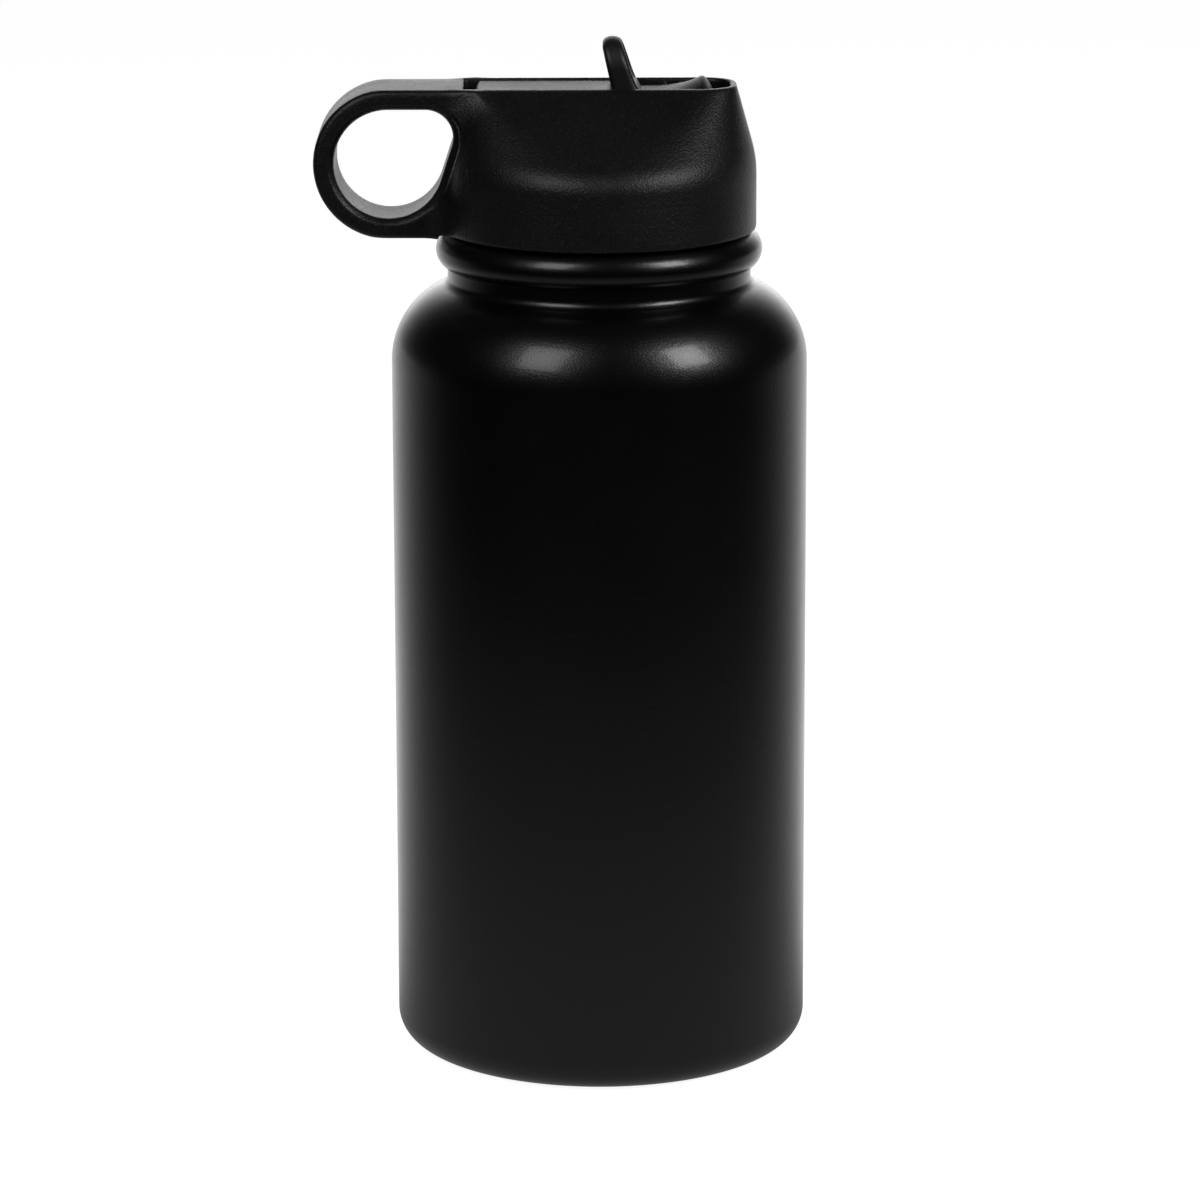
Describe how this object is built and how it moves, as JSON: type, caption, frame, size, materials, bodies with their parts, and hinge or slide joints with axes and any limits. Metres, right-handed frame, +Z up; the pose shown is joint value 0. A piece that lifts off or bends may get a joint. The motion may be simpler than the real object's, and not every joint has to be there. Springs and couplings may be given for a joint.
{
  "type": "insulated water bottle",
  "caption": "Double-wall steel drinking bottle with a screw lid, a side finger loop, and a flip-up spout with a soft mouthpiece, thumb tab and straw.",
  "frame": {"origin": "centre of the foot ring, on the plane the bottle stands on", "axes": "+Z up along the bottle's axis; the finger loop points to -X and the closed spout's mouth to +X"},
  "size_m": [0.1073, 0.091, 0.2256],
  "materials": {
    "powder_coat": "satin powder coat, near black",
    "bare_steel": "brushed stainless steel",
    "seal_glass": "fused glass bead",
    "getter_metal": "pressed metal powder",
    "copper_foil": "bright copper foil",
    "lid_plastic": "fine-grained matte black plastic",
    "spout_plastic": "textured matte black plastic",
    "mouth_silicone": "smooth soft black silicone",
    "silicone": "translucent grey silicone",
    "foam": "rigid white foam",
    "clear_straw": "frosted translucent plastic"
  },
  "bodies": {
    "bottle": {"outer_shell": "powder_coat", "inner_vessel": "bare_steel", "inner_base": "bare_steel", "outer_base": "bare_steel", "vacuum_seal": "seal_glass", "base_disc": "bare_steel", "getter": "getter_metal", "getter_clip": "bare_steel", "radiation_foil": "copper_foil"},
    "lid_carrier": {"lid_gasket": "silicone", "lid_foam": "foam"},
    "lid": {"lid_shell": "lid_plastic", "lid_core": "lid_plastic", "plug_cover": "lid_plastic", "hub_seal": "silicone", "straw_adapter": "lid_plastic", "adapter_ring": "silicone", "vent_valve": "silicone"},
    "spout": {"spout_arm": "spout_plastic", "mouthpiece": "mouth_silicone"},
    "straw": {"straw": "clear_straw"}
  },
  "joints": [
    {"name": "thread_rise", "type": "slide", "parent": "bottle", "child": "lid_carrier", "axis": [0, 0, 1], "range_m": [0, 0.0062]},
    {"name": "lid_turn", "type": "hinge", "parent": "lid_carrier", "child": "lid", "pos_m": [0, 0, 0.1838], "axis": [0, 0, 1], "range_deg": [0, 540]},
    {"name": "spout_flip", "type": "hinge", "parent": "lid", "child": "spout", "pos_m": [-0.0205, 0, 0.2084], "axis": [0, -1, 0], "range_deg": [0, 90]},
    {"name": "straw_pull", "type": "slide", "parent": "lid", "child": "straw", "axis": [0, 0, -1], "range_m": [0, 0.013]}
  ],
  "couplings": [
    {"joint": "thread_rise", "follows": "lid_turn", "m_per_rad": 0.00063662}
  ]
}
